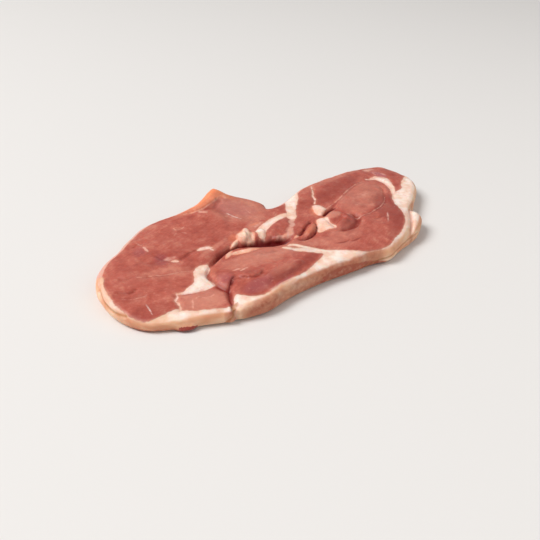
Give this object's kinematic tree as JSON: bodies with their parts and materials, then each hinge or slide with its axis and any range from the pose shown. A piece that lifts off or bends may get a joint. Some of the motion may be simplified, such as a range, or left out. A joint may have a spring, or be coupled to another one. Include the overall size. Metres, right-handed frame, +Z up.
{
  "type": "boneless lamb leg slice",
  "caption": "Raw slice of boneless leg of lamb lying flat: domed red muscles round a cleft, pale fat between them, a fat cap along the front edge and a curled flap at the back.",
  "frame": {"origin": "on the surface the slice lies on, under the middle of its box", "axes": "+X along the slice's length, from its rounded end to the end with the broad fat; +Y from the fat cap's long edge towards the curled flap; +Z up"},
  "size_m": [0.2078, 0.0945, 0.0191],
  "materials": {
    "lean": "moist raw meat, soft gloss",
    "fat": "waxy raw fat, soft gloss"
  },
  "bodies": {
    "root": {"lean": "lean", "fat_cap": "fat"}
  },
  "joints": []
}
